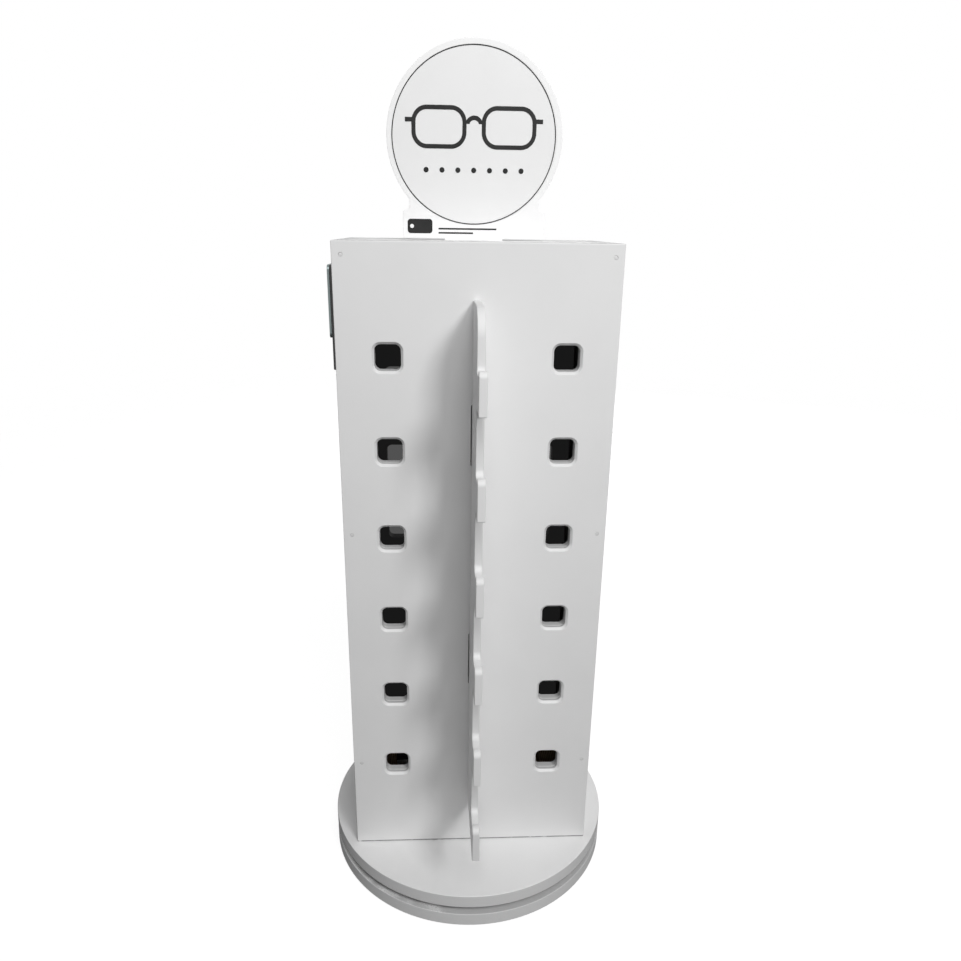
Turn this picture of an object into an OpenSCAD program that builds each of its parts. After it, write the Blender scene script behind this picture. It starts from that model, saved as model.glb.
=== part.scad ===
// Countertop eyewear display: a two-sided box column of white board on a turntable.
// Temples go through the square holes, and each nose bridge sits on a finger of the fin.
// Origin: centre of the footprint, at the bottom of the rubber feet. +Z up, front faces -Y.

/* [Column] */
// Width of the front and back panels
column_w = 219.5; // [200:0.5:240]
// Depth of the column, from front face to back face
column_d = 133.2; // [125:0.1:150]
// Height of the column above the turntable
column_h = 552; // [552:1:600]
// Thickness of the column boards
board_t = 12; // [8:0.5:12]

/* [Temple holes] */
// Rows of holes in each panel
row_count = 6; // [4:1:6]
// Height from one row to the next
row_pitch = 75.3; // [70:0.1:76]
// Distance from the top of the column to the first row on the front panel
first_row_drop = 86; // [80:1:90]
// How much lower the back panel's rows and fin sit
back_row_drop = 37.5; // [30:0.5:40]
// Distance between the two columns of holes
hole_spacing = 139.8; // [120:0.1:145]
// Width and height of a hole
hole_size = 20.6; // [16:0.1:22]
// Corner radius of a hole
hole_corner_r = 5; // [3:0.5:6]
// Chamfer around a hole on the outside
hole_chamfer = 2; // [0.5:0.1:3]

/* [Nose fin] */
// Thickness of the fin board
fin_t = 6; // [5:0.5:8]
// How far the fingertips stand out from the panel
fin_reach = 94.5; // [85:0.5:100]
// How far the edge between the fingers stands out
fin_edge = 65.5; // [60:0.5:72]
// Height of a finger
finger_h = 31; // [26:1:34]
// Height of a fingertip above the centre of its row
finger_rise = 6; // [4:1:12]
// Depth of the saddle behind a fingertip
saddle_depth = 5.5; // [4:0.5:8]
// Length of each tab that goes through the panel
tab_len = 50; // [40:1:95]
// Gap on each side of a tab in its slot
tab_gap = 0.8; // [0.4:0.1:1]

/* [Header sign] */
// Radius of the round sign
sign_r = 69.2; // [60:0.1:70]
// Height of the centre of the circle above the column
sign_centre_h = 76.8; // [72:0.1:80]
// Thickness of the sign
sign_t = 3; // [2:0.5:4]
// Width of the foot of the sign
sign_foot_w = 114.6; // [110:0.1:120]
// Height of the foot of the sign
sign_foot_h = 22.9; // [18:0.1:24]
// Sideways offset of the sign and its slot
sign_offset = -1.5; // [-5:0.5:5]
// Width of the tab that plugs into the top panel
sign_tab_w = 47; // [35:1:50]

/* [Turntable] */
// Radius of the turntable and of the base
disc_r = 136; // [130:0.5:145]
// Thickness of each of the two discs
disc_t = 12.5; // [10:0.5:15]
// Height of the ball bearing between the discs
bearing_h = 8; // [8:0.5:10]
// Height of the rubber feet
foot_h = 3; // [2:0.5:5]

/* [Side mirror] */
// Width of the mirror, front to back
mirror_w = 106; // [80:1:110]
// Height of the mirror glass
mirror_h = 55; // [40:1:70]
// Height of the strip of backing board below the glass
mirror_strip_h = 25; // [20:1:30]

/* [Hidden] */
$fn = 96;

// Levels of the stack, from the counter up
base_z = foot_h;
gap_z = base_z + disc_t;
turn_z = gap_z + bearing_h;
deck_z = turn_z + disc_t;
top_z = deck_z + column_h;

// Column: faces and inside
face_y = column_d / 2;
inner_x = column_w / 2 - board_t;
inner_y = face_y - board_t;
row_top_z = top_z - first_row_drop;

// Cleats that join the boards to the top panel and to the turntable
top_cleat = 15;
bottom_cleat = 20;
cleat_x = inner_x - bottom_cleat / 2;
top_cleat_z = top_z - board_t - top_cleat / 2;
bottom_cleat_z = deck_z + bottom_cleat / 2;
cleat_screw_y = 45;
screw_bite = 8;

// Nails along the edges of the front and back panels, as heights above the turntable
nail_r = 0.8;
nail_head_r = 1.6;
nail_head_t = 0.8;
nail_len = 35;
nail_x = column_w / 2 - 7;
nail_heights = [column_h - 10, 319, 91];

// Screws: shank and head
screw_r = 1.9;
screw_head_r = 3.8;
screw_head_t = 2.4;
screw_hole_slack = 0.2;

// Fin: heights above the centre of the first row
fin_top = finger_rise + 38.3;
fin_foot_drop = 14.1;
fin_offset = -1;
fin_corner_r = 20;
saddle_r = 5;
lip_w = 7.5;
slot_upper_z = [-36.9, -240.9];

// Ball bearing
bearing_plate = 152;
bearing_plate_t = 1.2;
bearing_bolt = 66;
bearing_hole_r = 2.2;
bearing_bore_r = 47;
bearing_fit = 0.08;
race_in_r = 52;
race_out_r = 60;
race_h = 3;
ball_r = 2.6;
ball_count = 32;
groove_slack = 0.3;
access_hole_r = 9;

// Feet
foot_r = 9;
foot_place_r = 116;
foot_angles = [45, 135, 225, 315];

// Mirror on the left side
mirror_top_z = deck_z + 534;
mirror_strip_t = 3.4;
mirror_glass_t = 2;

// Printed film on both faces of the sign
film_t = 0.2;
film_offset = -0.6;
ring_r = 64.7;
ring_line = 0.8;
lens_w = 43;
lens_h = 31;
lens_place_x = 27.5;
lens_place_y = 7;
frame_line = 3.2;
dot_count = 7;
dot_pitch = 12.6;
dot_r = 2;
dot_place_y = -24;

// Slot and tab of the sign
sign_tab_depth = board_t;
sign_slot_gap = 0.3;
sign_foot_gap = 1.5;
sign_neck_w = 104.5;

// --- Shapes used more than once ---

// Rounded outline from corners [x, y, radius], listed anticlockwise or clockwise
function corner_points(a, b, c, r, steps = 8) =
    let (
        u = (a - b) / norm(a - b),
        v = (c - b) / norm(c - b),
        half = acos(max(-1, min(1, u * v))) / 2,
        reach = r / tan(half),
        mid = (u + v) / norm(u + v),
        centre = b + mid * r / sin(half),
        from = b + u * reach - centre,
        to = b + v * reach - centre,
        a0 = atan2(from.y, from.x),
        turn = atan2(to.y, to.x) - a0,
        sweep = turn > 180 ? turn - 360 : turn < -180 ? turn + 360 : turn
    )
    r <= 0 ? [b] : [for (i = [0:steps]) centre + r * [cos(a0 + sweep * i / steps), sin(a0 + sweep * i / steps)]];

function rounded(p) = [
    for (i = [0:len(p) - 1])
        let (
            prev = p[(i + len(p) - 1) % len(p)],
            next = p[(i + 1) % len(p)]
        )
        each corner_points([prev.x, prev.y], [p[i].x, p[i].y], [next.x, next.y], p[i].z)
];

// Upright rectangle with round corners, centred
module round_rect(w, h, r) {
    square([w - 2 * r, h], center = true);
    square([w, h - 2 * r], center = true);
    for (x = [-1, 1], y = [-1, 1])
        translate([x * (w / 2 - r), y * (h / 2 - r)]) circle(r, $fn = 48);
}

// Countersunk rim around a rounded hole: mouth at z = 0, narrowing into +Z
module hole_rim(w, h, r, c) {
    over = 0.5;
    run = c + over;
    module wedge(full, straight) {
        rotate([90, 0, 0]) linear_extrude(straight, center = true)
            polygon([
                [-full / 2 - run, -over], [full / 2 + run, -over],
                [full / 2, c], [-full / 2, c]
            ]);
    }
    wedge(w, h - 2 * r);
    rotate([0, 0, 90]) wedge(h, w - 2 * r);
    for (x = [-1, 1], y = [-1, 1])
        translate([x * (w / 2 - r), y * (h / 2 - r), -over])
            cylinder(r1 = r + run, r2 = r, h = run, $fn = 48);
}

// Pan-head screw along +Z: head below z = 0, shank above
module screw(length, r = screw_r, head_r = screw_head_r, head_t = screw_head_t) {
    rotate_extrude($fn = 32) polygon([
        [0, -head_t], [head_r * 0.55, -head_t], [head_r, -head_t * 0.35],
        [head_r, 0], [r, 0], [r, length - r], [0, length]
    ]);
}

// Countersunk screw along +Z: flat head flush at z = 0
module flat_screw(length, r = screw_r, head_r = screw_head_r) {
    rotate_extrude($fn = 32) polygon([
        [0, 0], [head_r, 0], [head_r, 0.4], [r, 0.4 + head_r - r],
        [r, length - r], [0, length]
    ]);
}

// The room that a countersunk screw takes
module flat_screw_hole(length) {
    rotate_extrude($fn = 32) polygon([
        [0, -1], [screw_head_r, -1], [screw_head_r, 0.4], [screw_r, 0.4 + screw_head_r - screw_r],
        [screw_r, length], [0, length]
    ]);
}

// Flat disc with softened edges
module disc(r, t, soft = 0.8) {
    rotate_extrude($fn = 180) polygon(rounded([
        [0, 0, 0], [r, 0, soft], [r, t, soft], [0, t, 0]
    ]));
}

// --- Places ---

module at_feet() {
    for (a = foot_angles) rotate([0, 0, a]) translate([foot_place_r, 0, 0]) children();
}

module at_bearing_bolts() {
    for (x = [-1, 1], y = [-1, 1]) translate([x * bearing_bolt, y * bearing_bolt, 0]) children();
}

module at_turntable_screws() {
    for (x = [-1, 1], y = [-1, 1]) translate([x * cleat_x, y * cleat_screw_y, 0]) children();
}

// Nails point into the column from a panel whose outside is at z = 0
module at_nails() {
    for (x = [-1, 1], h = nail_heights) translate([x * nail_x, deck_z + h, 0]) children();
}

// Stands something drawn in XY upright against the front (or back) of the column
module on_front() {
    translate([0, -face_y, 0]) rotate([90, 0, 0]) mirror([0, 0, 1]) children();
}

module on_back() {
    rotate([0, 0, 180]) on_front() children();
}

// --- Base and bearing ---

module base_disc() {
    color("gainsboro") translate([0, 0, base_z]) difference() {
        disc(disc_r, disc_t);
        translate([bearing_bolt * sqrt(2), 0, -1]) cylinder(r = access_hole_r, h = disc_t + 2);
        at_bearing_bolts() translate([0, 0, disc_t - 9]) cylinder(r = screw_r, h = 10, $fn = 32);
        at_feet() translate([0, 0, -1]) cylinder(r = screw_r, h = 10, $fn = 32);
    }
}

module rubber_feet() {
    color("dimgray") at_feet() difference() {
        rotate_extrude($fn = 48) polygon(rounded([
            [0, 0, 0], [foot_r - 0.6, 0, 0.6], [foot_r, foot_h, 0], [0, foot_h, 0]
        ]));
        translate([0, 0, foot_h - 1.6]) cylinder(r = screw_r + screw_hole_slack, h = 3, $fn = 32);
        translate([0, 0, -1]) cylinder(r = screw_head_r + screw_hole_slack, h = foot_h - 0.6, $fn = 32);
    }
}

module foot_screws() {
    color("silver") at_feet() translate([0, 0, foot_h - 1.6]) screw(9, head_t = 1.2);
}

module bearing_bottom_plate() {
    color("silver") translate([0, 0, gap_z]) {
        difference() {
            translate([0, 0, bearing_plate_t / 2])
                linear_extrude(bearing_plate_t, center = true) round_rect(bearing_plate, bearing_plate, 8);
            translate([0, 0, -1]) cylinder(r = race_in_r, h = 4, $fn = 128);
            at_bearing_bolts() translate([0, 0, -1]) cylinder(r = bearing_hole_r, h = 4, $fn = 32);
        }
        difference() {
            rotate_extrude($fn = 128) polygon([
                [bearing_bore_r, 2], [race_in_r + 1, 2], [race_in_r + 1, 0], [race_out_r, 0],
                [race_out_r, race_h], [bearing_bore_r, race_h]
            ]);
            race_groove(ball_r + 0.05);
        }
    }
}

module bearing_top_plate() {
    lip_t = 1;
    tube_r = bearing_bore_r - bearing_fit;
    color("silver") translate([0, 0, gap_z]) {
        difference() {
            translate([0, 0, bearing_h - bearing_plate_t / 2])
                linear_extrude(bearing_plate_t, center = true) round_rect(bearing_plate, bearing_plate, 8);
            translate([0, 0, bearing_h - 3]) cylinder(r = race_in_r, h = 4, $fn = 128);
            at_bearing_bolts() translate([0, 0, bearing_h - 3]) cylinder(r = bearing_hole_r, h = 4, $fn = 32);
        }
        difference() {
            rotate_extrude($fn = 128) polygon([
                [tube_r - bearing_plate_t, 0.6], [tube_r + 2.6, 0.6], [tube_r + 2.6, 0.6 + lip_t],
                [tube_r, 0.6 + lip_t], [tube_r, bearing_h - race_h + 0.6],
                [race_in_r, bearing_h - race_h + 0.6], [race_in_r, bearing_h - race_h],
                [race_out_r, bearing_h - race_h], [race_out_r, bearing_h],
                [tube_r - bearing_plate_t, bearing_h]
            ]);
            race_groove(ball_r + groove_slack);
        }
    }
}

module race_groove(r) {
    rotate_extrude($fn = 128) translate([(race_in_r + race_out_r) / 2, bearing_h / 2]) circle(r, $fn = 48);
}

module bearing_balls() {
    color("lightgray") for (i = [0:ball_count - 1])
        rotate([0, 0, 360 * i / ball_count])
            translate([(race_in_r + race_out_r) / 2, 0, gap_z + bearing_h / 2]) sphere(ball_r, $fn = 24);
}

module bearing_bottom_screws() {
    color("silver") at_bearing_bolts() translate([0, 0, gap_z + bearing_plate_t])
        mirror([0, 0, 1]) screw(9, head_t = 1.7);
}

module bearing_top_screws() {
    color("silver") at_bearing_bolts() translate([0, 0, turn_z - bearing_plate_t])
        screw(10, head_t = 1.7);
}

// --- Turntable and column ---

module turntable_disc() {
    color("white") translate([0, 0, turn_z]) difference() {
        disc(disc_r, disc_t);
        at_bearing_bolts() translate([0, 0, -1]) cylinder(r = screw_r, h = 10, $fn = 32);
        at_turntable_screws() flat_screw_hole(disc_t + 1);
    }
}

// A panel drawn flat: outside at z = 0, thickness into +Z, heights along Y
module holed_panel(first_row_z) {
    difference() {
        translate([-column_w / 2, deck_z, 0]) cube([column_w, column_h, board_t]);
        for (row = [0:row_count - 1], x = [-1, 1])
            translate([x * hole_spacing / 2, first_row_z - row * row_pitch, 0]) {
                translate([0, 0, -1]) linear_extrude(board_t + 2)
                    round_rect(hole_size, hole_size, hole_corner_r);
                hole_rim(hole_size, hole_size, hole_corner_r, hole_chamfer);
            }
        for (z = slot_upper_z)
            translate([fin_offset - fin_t / 2 - tab_gap, first_row_z + z - tab_len, -1])
                cube([fin_t + 2 * tab_gap, tab_len, board_t + 2]);
        at_nails() {
            translate([0, 0, -1]) cylinder(r = nail_r, h = board_t + 2, $fn = 24);
            translate([0, 0, -1]) cylinder(r = nail_head_r, h = 1 + nail_head_t, $fn = 24);
        }
    }
}

module front_panel() {
    color("whitesmoke") on_front() holed_panel(row_top_z);
}

module back_panel() {
    color("whitesmoke") on_back() holed_panel(row_top_z - back_row_drop);
}

module side_panel(side) {
    difference() {
        translate([side * (inner_x + board_t / 2), 0, deck_z + column_h / 2])
            cube([board_t, 2 * inner_y, column_h], center = true);
        on_front() at_nails() cylinder(r = nail_r, h = nail_len, $fn = 24);
        on_back() at_nails() cylinder(r = nail_r, h = nail_len, $fn = 24);
        at_cleat_screws(side, top_cleat_z, top_cleat) cylinder(r = screw_r, h = top_cleat + screw_bite, $fn = 32);
        at_cleat_screws(side, bottom_cleat_z, bottom_cleat)
            cylinder(r = screw_r, h = bottom_cleat + screw_bite, $fn = 32);
        if (side < 0) at_mirror_screws() cylinder(r = screw_r, h = mirror_strip_t + 9, $fn = 32);
    }
}

module left_side_panel() {
    color("whitesmoke") side_panel(-1);
}

module right_side_panel() {
    color("whitesmoke") side_panel(1);
}

module top_panel() {
    color("whitesmoke") difference() {
        translate([0, 0, top_z - board_t / 2])
            cube([2 * inner_x, 2 * inner_y, board_t], center = true);
        translate([sign_offset, 0, top_z - board_t / 2])
            cube([sign_tab_w + 2 * sign_slot_gap, sign_t + 2 * sign_slot_gap, board_t + 2], center = true);
    }
}

module top_cleats() {
    color("burlywood") for (x = [-1, 1]) difference() {
        translate([x * (inner_x - top_cleat / 2), 0, top_cleat_z])
            cube([top_cleat, 2 * inner_y - 4, top_cleat], center = true);
        at_cleat_screws(x, top_cleat_z, top_cleat)
            translate([0, 0, -1]) cylinder(r = screw_r, h = 40, $fn = 32);
    }
}

module bottom_cleats() {
    color("burlywood") for (x = [-1, 1]) difference() {
        translate([x * cleat_x, 0, bottom_cleat_z])
            cube([bottom_cleat, 2 * inner_y - 4, bottom_cleat], center = true);
        at_cleat_screws(x, bottom_cleat_z, bottom_cleat)
            translate([0, 0, -1]) cylinder(r = screw_r, h = 40, $fn = 32);
        translate([0, 0, deck_z]) at_turntable_screws()
            translate([0, 0, -1]) cylinder(r = screw_r, h = 14, $fn = 32);
    }
}

// Screws that go sideways through a cleat into a side panel: +Z here points outwards
module at_cleat_screws(side, z, cleat) {
    for (y = [-1, 1])
        translate([side * (inner_x - cleat), y * cleat_screw_y * 0.6, z]) rotate([0, side * 90, 0]) children();
}

module top_cleat_screws() {
    color("silver") for (x = [-1, 1])
        at_cleat_screws(x, top_cleat_z, top_cleat) screw(top_cleat + screw_bite);
}

module bottom_cleat_screws() {
    color("silver") for (x = [-1, 1])
        at_cleat_screws(x, bottom_cleat_z, bottom_cleat) screw(bottom_cleat + screw_bite);
}

module turntable_screws() {
    color("silver") translate([0, 0, turn_z]) at_turntable_screws() flat_screw(disc_t + 12);
}

module nails() {
    at_nails() rotate_extrude($fn = 24) polygon([
        [0, 0.2], [nail_head_r, 0.2], [nail_head_r, nail_head_t], [nail_r, nail_head_t],
        [nail_r, nail_len - 2], [0, nail_len]
    ]);
}

module front_panel_nails() {
    color("silver") on_front() nails();
}

module back_panel_nails() {
    color("silver") on_back() nails();
}

// --- Nose fin ---

// Outline of one fin: X is the distance out from the panel, Y the height above the first row.
// Each finger rises to a tip, dips into a saddle, and runs up the edge to the next finger.
fin_bottom = finger_rise - finger_h - (row_count - 1) * row_pitch;
fin_outline = concat(
    [[0, fin_bottom - fin_foot_drop, 0]],
    [
        for (row = [row_count - 1:-1:0])
            let (tip = finger_rise - row * row_pitch)
            each concat(
                row == row_count - 1 ? [] : [[fin_edge, tip - finger_h, 0.8]],
                [
                    [fin_reach, tip - finger_h, 1],
                    [fin_reach, tip, 4.5],
                    [fin_reach - lip_w, tip, 3.5],
                    [fin_reach - lip_w - saddle_depth, tip - saddle_depth, saddle_r],
                    [fin_edge, tip - saddle_depth, saddle_r]
                ]
            )
    ],
    [[fin_edge, fin_top, fin_corner_r], [0, fin_top, 0]]
);

module nose_fin(first_row_z) {
    translate([fin_offset, -face_y, first_row_z]) rotate([90, 0, -90]) translate([0, 0, -fin_t / 2]) {
        linear_extrude(fin_t) polygon(rounded(fin_outline));
        for (z = slot_upper_z)
            translate([-board_t, z - tab_len + 0.5, 0]) cube([board_t, tab_len - 1, fin_t]);
    }
}

module front_nose_fin() {
    color("white") nose_fin(row_top_z);
}

module back_nose_fin() {
    color("white") rotate([0, 0, 180]) nose_fin(row_top_z - back_row_drop);
}

// --- Header sign ---

module header_sign() {
    neck_x = sign_neck_w / 2;
    color("white") translate([sign_offset, 0, top_z]) rotate([90, 0, 0])
        linear_extrude(sign_t, center = true) {
            translate([0, sign_centre_h]) circle(sign_r, $fn = 180);
            polygon(rounded([
                [-sign_foot_w / 2, sign_foot_gap, 0], [sign_foot_w / 2, sign_foot_gap, 0],
                [sign_foot_w / 2, sign_foot_h, 2.5], [neck_x, sign_foot_h, 2.5],
                [neck_x, sign_centre_h / 2, 0], [-neck_x, sign_centre_h / 2, 0],
                [-neck_x, sign_foot_h, 2.5], [-sign_foot_w / 2, sign_foot_h, 2.5]
            ]));
            translate([-sign_tab_w / 2, -sign_tab_depth])
                square([sign_tab_w, sign_tab_depth + sign_foot_gap + 1]);
        }
}

// Plain spectacles drawn in outline: two lenses, a bridge and two temple stubs
module spectacles() {
    for (x = [-1, 1]) translate([x * lens_place_x, 0]) {
        difference() {
            round_rect(lens_w, lens_h, 12);
            round_rect(lens_w - 2 * frame_line, lens_h - 2 * frame_line, 12 - frame_line);
        }
        translate([x * (lens_w / 2 + 2), 5]) square([6, frame_line], center = true);
    }
    difference() {
        translate([0, 1.5]) circle(7, $fn = 48);
        translate([0, 1.5]) circle(7 - frame_line, $fn = 48);
        translate([-10, -12]) square([20, 14.5]);
    }
}

// Blank price tag: a filled tag with a string hole, and two plain rules beside it
module blank_tag() {
    difference() {
        round_rect(20, 11, 2.5);
        translate([-6.5, 0]) circle(1.6, $fn = 32);
    }
    for (rule = [[-5, 28], [-1.8, 47]]) translate([15, rule.x - 0.6]) square([rule.y, 1.2]);
}

module sign_film() {
    linear_extrude(film_t) {
        difference() {
            circle(ring_r, $fn = 180);
            circle(ring_r - ring_line, $fn = 180);
        }
        translate([0, lens_place_y]) spectacles();
        for (i = [0:dot_count - 1])
            translate([(i - (dot_count - 1) / 2) * dot_pitch, dot_place_y]) circle(dot_r, $fn = 32);
        translate([-43, 10.5 - sign_centre_h]) blank_tag();
    }
}

module sign_graphics() {
    color("black") for (turn = [0, 180])
        translate([sign_offset, 0, top_z + sign_centre_h]) rotate([0, 0, turn])
            translate([film_offset, -sign_t / 2, 0]) rotate([90, 0, 0]) sign_film();
}

// --- Side mirror ---

module side_mirror_backer() {
    height = mirror_h + mirror_strip_h;
    color("dimgray") difference() {
        translate([-column_w / 2, 0, mirror_top_z - height / 2]) rotate([0, -90, 0])
            linear_extrude(mirror_strip_t) round_rect(height, mirror_w, 2);
        at_mirror_screws() translate([0, 0, -2]) cylinder(r = screw_r, h = 20, $fn = 32);
    }
}

module side_mirror_glass() {
    color("lightsteelblue")
        translate([-column_w / 2 - mirror_strip_t, 0, mirror_top_z - mirror_h / 2]) rotate([0, -90, 0])
            linear_extrude(mirror_glass_t) round_rect(mirror_h, mirror_w, 4);
}

// Screws through the strip below the glass: +Z here points into the column
module at_mirror_screws() {
    z = mirror_top_z - mirror_h - mirror_strip_h / 2;
    for (y = [-1, 1])
        translate([-column_w / 2 - mirror_strip_t, y * mirror_w * 0.38, z]) rotate([0, 90, 0]) children();
}

module side_mirror_screws() {
    color("silver") at_mirror_screws() screw(mirror_strip_t + 9, head_r = 3.2, head_t = 1.4);
}

base_disc();
rubber_feet();
foot_screws();
bearing_bottom_plate();
bearing_bottom_screws();
bearing_balls();
bearing_top_plate();
bearing_top_screws();
turntable_disc();
front_panel();
back_panel();
left_side_panel();
right_side_panel();
top_panel();
top_cleats();
bottom_cleats();
top_cleat_screws();
bottom_cleat_screws();
turntable_screws();
front_panel_nails();
back_panel_nails();
front_nose_fin();
back_nose_fin();
header_sign();
sign_graphics();
side_mirror_backer();
side_mirror_glass();
side_mirror_screws();
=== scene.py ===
# %% [markdown]
# # A countertop display for eyewear
# A white two-sided box column stands on a turntable. Temples go through the square holes, each nose
# bridge sits on a finger of the fin, and a round header sign plugs into the top. The working parts come
# from CAD as a fixed frame. This lesson gives them their looks: softened board edges, real fasteners,
# and finishes made only from nodes.

import math

import bmesh
import bpy
from mathutils import Matrix, Vector, geometry


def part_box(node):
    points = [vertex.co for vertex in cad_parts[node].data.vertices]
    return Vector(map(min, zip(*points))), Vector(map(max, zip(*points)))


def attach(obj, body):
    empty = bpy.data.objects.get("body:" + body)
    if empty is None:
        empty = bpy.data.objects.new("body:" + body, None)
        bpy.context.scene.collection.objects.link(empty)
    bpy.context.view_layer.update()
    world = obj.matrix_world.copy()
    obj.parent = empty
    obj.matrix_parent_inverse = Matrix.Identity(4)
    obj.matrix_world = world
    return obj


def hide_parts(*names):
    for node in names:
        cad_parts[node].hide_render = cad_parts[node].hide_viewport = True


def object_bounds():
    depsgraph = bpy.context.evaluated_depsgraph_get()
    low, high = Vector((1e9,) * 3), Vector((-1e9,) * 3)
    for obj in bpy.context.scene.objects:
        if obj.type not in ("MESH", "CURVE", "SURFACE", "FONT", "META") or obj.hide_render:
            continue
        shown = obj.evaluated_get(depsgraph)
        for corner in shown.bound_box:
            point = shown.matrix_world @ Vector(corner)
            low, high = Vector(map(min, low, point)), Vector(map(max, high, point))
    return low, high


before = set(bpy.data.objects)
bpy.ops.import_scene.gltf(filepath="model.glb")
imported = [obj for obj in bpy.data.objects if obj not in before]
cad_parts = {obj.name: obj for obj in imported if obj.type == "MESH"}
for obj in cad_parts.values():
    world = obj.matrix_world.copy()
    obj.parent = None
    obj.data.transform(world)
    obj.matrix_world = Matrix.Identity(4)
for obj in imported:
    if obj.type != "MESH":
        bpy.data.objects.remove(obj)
cad_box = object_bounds()
scene = bpy.context.scene
mm = 0.001

# %% [markdown]
# ## Camera
# The display is looked at from close by and a little above, with a moderately wide lens, so its uprights
# come together towards the floor. A camera can be aimed with a Track To constraint, but a small roll is
# wanted too, so the view is built from three angles: turn, tilt and roll.

# %% Camera
def aimed_camera(place, turn, tilt, roll, lens, shift):
    turn, tilt, roll = (math.radians(a) for a in (turn, tilt, roll))
    ahead = Vector((math.sin(turn) * math.cos(tilt), math.cos(turn) * math.cos(tilt), -math.sin(tilt)))
    right = Vector((math.cos(turn), -math.sin(turn), 0))
    upright = Matrix((right, right.cross(ahead), -ahead)).transposed()
    camera = bpy.data.objects.new("camera", bpy.data.cameras.new("camera"))
    camera.matrix_world = Matrix.Translation(place) @ (upright @ Matrix.Rotation(roll, 3, "Z")).to_4x4()
    camera.data.lens = lens
    camera.data.sensor_width = 36
    camera.data.shift_x, camera.data.shift_y = shift
    scene.collection.objects.link(camera)
    return camera


scene.camera = aimed_camera(
    Vector((-31.3, -671.3, 598.9)) * mm,
    turn=2.957, tilt=19.264, roll=0.8, lens=29.143, shift=(0.0048, 0.0184),
)
print("camera at", tuple(round(c, 3) for c in scene.camera.location))

# %% [markdown]
# ## Stage and light
# White boards need a clear main light, or their edges vanish. One soft box stands in front, to the right
# and high, so the fin throws a soft shadow to its left. A wide, weaker one in front, higher still, opens
# the shadow and lights what faces up, and one behind lights the back panel.
#
# Two things here are not as in a real studio. The room light has three levels: white for the camera, dim
# for diffuse light, and bright for reflections, so that boards seen at a glancing angle stay pale. And the
# floor glows for the camera only, which hides most of the display's shadow. It fades out with distance, so
# no horizon line shows.

# %% Node helpers
def add(tree, kind, inputs=None, **settings):
    """Adds a node to a tree. An input is a plain value, or another node's output to link."""
    node = tree.nodes.new(kind)
    for key, value in settings.items():
        setattr(node, key, value)
    for key, value in (inputs or {}).items():
        if isinstance(value, bpy.types.NodeSocket):
            tree.links.new(value, node.inputs[key])
        else:
            node.inputs[key].default_value = value
    return node


def math_node(tree, operation, first, second=0.0, clamp=False):
    return add(tree, "ShaderNodeMath", {0: first, 1: second}, operation=operation, use_clamp=clamp).outputs[0]


def times(tree, first, second):
    return math_node(tree, "MULTIPLY", first, second)


def scaled(tree, value, factor, base):
    """The value times a factor, plus a base."""
    return math_node(tree, "ADD", times(tree, value, factor), base)


def inverted(tree, value):
    return math_node(tree, "SUBTRACT", 1.0, value)


def vector_node(tree, operation, first, second=(0.0, 0.0, 0.0)):
    """A length or a dot product comes out as a value, and anything else as a vector."""
    node = add(tree, "ShaderNodeVectorMath", {0: first, 1: second}, operation=operation)
    return node.outputs["Value" if operation in ("LENGTH", "DOT_PRODUCT") else "Vector"]


def height_of(tree, vector):
    """The Z part of a place or a normal."""
    return add(tree, "ShaderNodeSeparateXYZ", {0: vector}).outputs["Z"]


def ramp(tree, value, low, high):
    """Rises smoothly from 0 at low to 1 at high."""
    node = add(tree, "ShaderNodeMapRange", {"Value": value, "From Min": low, "From Max": high})
    node.interpolation_type = "SMOOTHSTEP"
    return node.outputs["Result"]


def mixed(tree, factor, first, second):
    """Mixes two colours."""
    return add(tree, "ShaderNodeMix", {0: factor, 6: first, 7: second}, data_type="RGBA").outputs[2]


def grey(value, warm=0.0):
    return (value + warm, value, value - warm, 1.0)


def new_material(name):
    material = bpy.data.materials.new(name)
    material.use_nodes = True
    material.node_tree.nodes.clear()
    return material, material.node_tree


def finish_material(tree, **sockets):
    """Ends a material in a Principled BSDF. Names use _ for a space, as in Base_Color."""
    shader = add(tree, "ShaderNodeBsdfPrincipled", {k.replace("_", " "): v for k, v in sockets.items()})
    add(tree, "ShaderNodeOutputMaterial", {"Surface": shader.outputs[0]})


# %% Floor
def pale_floor(radius, shade, camera_glow):
    material, tree = new_material("pale_floor")
    place = add(tree, "ShaderNodeTexCoord").outputs["Object"]
    distance = vector_node(tree, "LENGTH", place)
    far = ramp(tree, distance, radius * 0.25, radius * 0.95)
    seen = add(tree, "ShaderNodeLightPath").outputs["Is Camera Ray"]
    glow = times(tree, seen, camera_glow)
    plain = add(tree, "ShaderNodeBsdfPrincipled", {"Base Color": grey(shade), "Roughness": 0.9,
                                                   "Emission Color": grey(1.0), "Emission Strength": glow})
    gone = add(tree, "ShaderNodeBsdfTransparent")
    fade = add(tree, "ShaderNodeMixShader", {0: far, 1: plain.outputs[0], 2: gone.outputs[0]})
    add(tree, "ShaderNodeOutputMaterial", {"Surface": fade.outputs[0]})
    mesh = bmesh.new()
    bmesh.ops.create_circle(mesh, cap_ends=True, segments=96, radius=radius)
    floor = bpy.data.objects.new("floor", bpy.data.meshes.new("floor"))
    mesh.to_mesh(floor.data)
    floor.data.materials.append(material)
    scene.collection.objects.link(floor)


pale_floor(3.0, shade=0.22, camera_glow=0.9)


# %% Lights
def soft_box(name, place, aim, width, height, watts):
    light = bpy.data.objects.new(name, bpy.data.lights.new(name, "AREA"))
    light.data.shape = "RECTANGLE"
    light.data.size, light.data.size_y = width, height
    light.data.energy = watts
    light.location = place
    light.rotation_euler = (aim - place).to_track_quat("-Z", "Y").to_euler()
    scene.collection.objects.link(light)


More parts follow.
